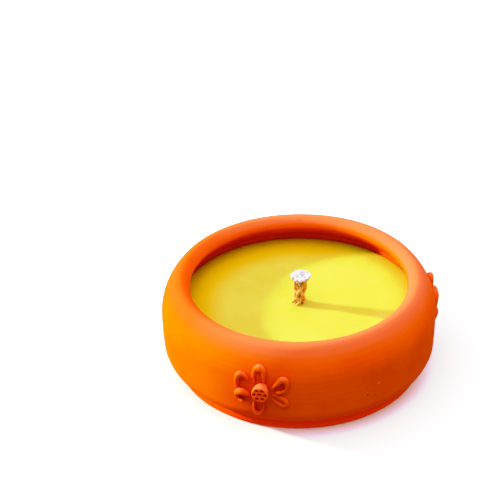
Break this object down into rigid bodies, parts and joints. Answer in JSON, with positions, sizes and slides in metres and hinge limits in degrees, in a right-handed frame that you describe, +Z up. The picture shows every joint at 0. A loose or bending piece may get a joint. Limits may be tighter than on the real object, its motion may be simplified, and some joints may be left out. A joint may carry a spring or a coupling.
{
  "type": "diya oil lamp",
  "caption": "Round terracotta diya with a rolled lip and applied clay flowers, filled with yellow wax round one short braided cotton wick.",
  "frame": {"origin": "centre of the foot ring's resting plane, on the bowl's axis", "axes": "+Z up the bowl's axis, -Y towards the viewer, with the front flower 15 degrees to its left, +X to the right"},
  "size_m": [0.1021, 0.1029, 0.0372],
  "materials": {
    "terracotta": "unglazed fired clay, matt, fine grained",
    "wax": "poured wax, satin, slightly translucent",
    "waxed_cotton": "plaited cotton soaked with wax",
    "cotton": "dry white cotton fibre",
    "tinned_steel": "tinned sheet steel",
    "sticker": "adhesive foam disc with a paper face"
  },
  "bodies": {
    "root": {"bowl": "terracotta", "wax_fill": "wax", "tab_sticker": "sticker", "wick_tab": "tinned_steel", "wick_core": "cotton", "wick_braid": "waxed_cotton", "flower_1_pod": "terracotta", "flower_2_pod": "terracotta", "flower_3_pod": "terracotta", "flower_1_petal_1": "terracotta", "flower_1_petal_2": "terracotta", "flower_1_petal_3": "terracotta", "flower_1_petal_4": "terracotta", "flower_1_petal_5": "terracotta", "flower_1_petal_6": "terracotta", "flower_2_petal_1": "terracotta", "flower_2_petal_2": "terracotta", "flower_2_petal_3": "terracotta", "flower_2_petal_4": "terracotta", "flower_2_petal_5": "terracotta", "flower_2_petal_6": "terracotta", "flower_3_petal_1": "terracotta", "flower_3_petal_2": "terracotta", "flower_3_petal_3": "terracotta", "flower_3_petal_4": "terracotta", "flower_3_petal_5": "terracotta", "flower_3_petal_6": "terracotta"}
  },
  "joints": []
}
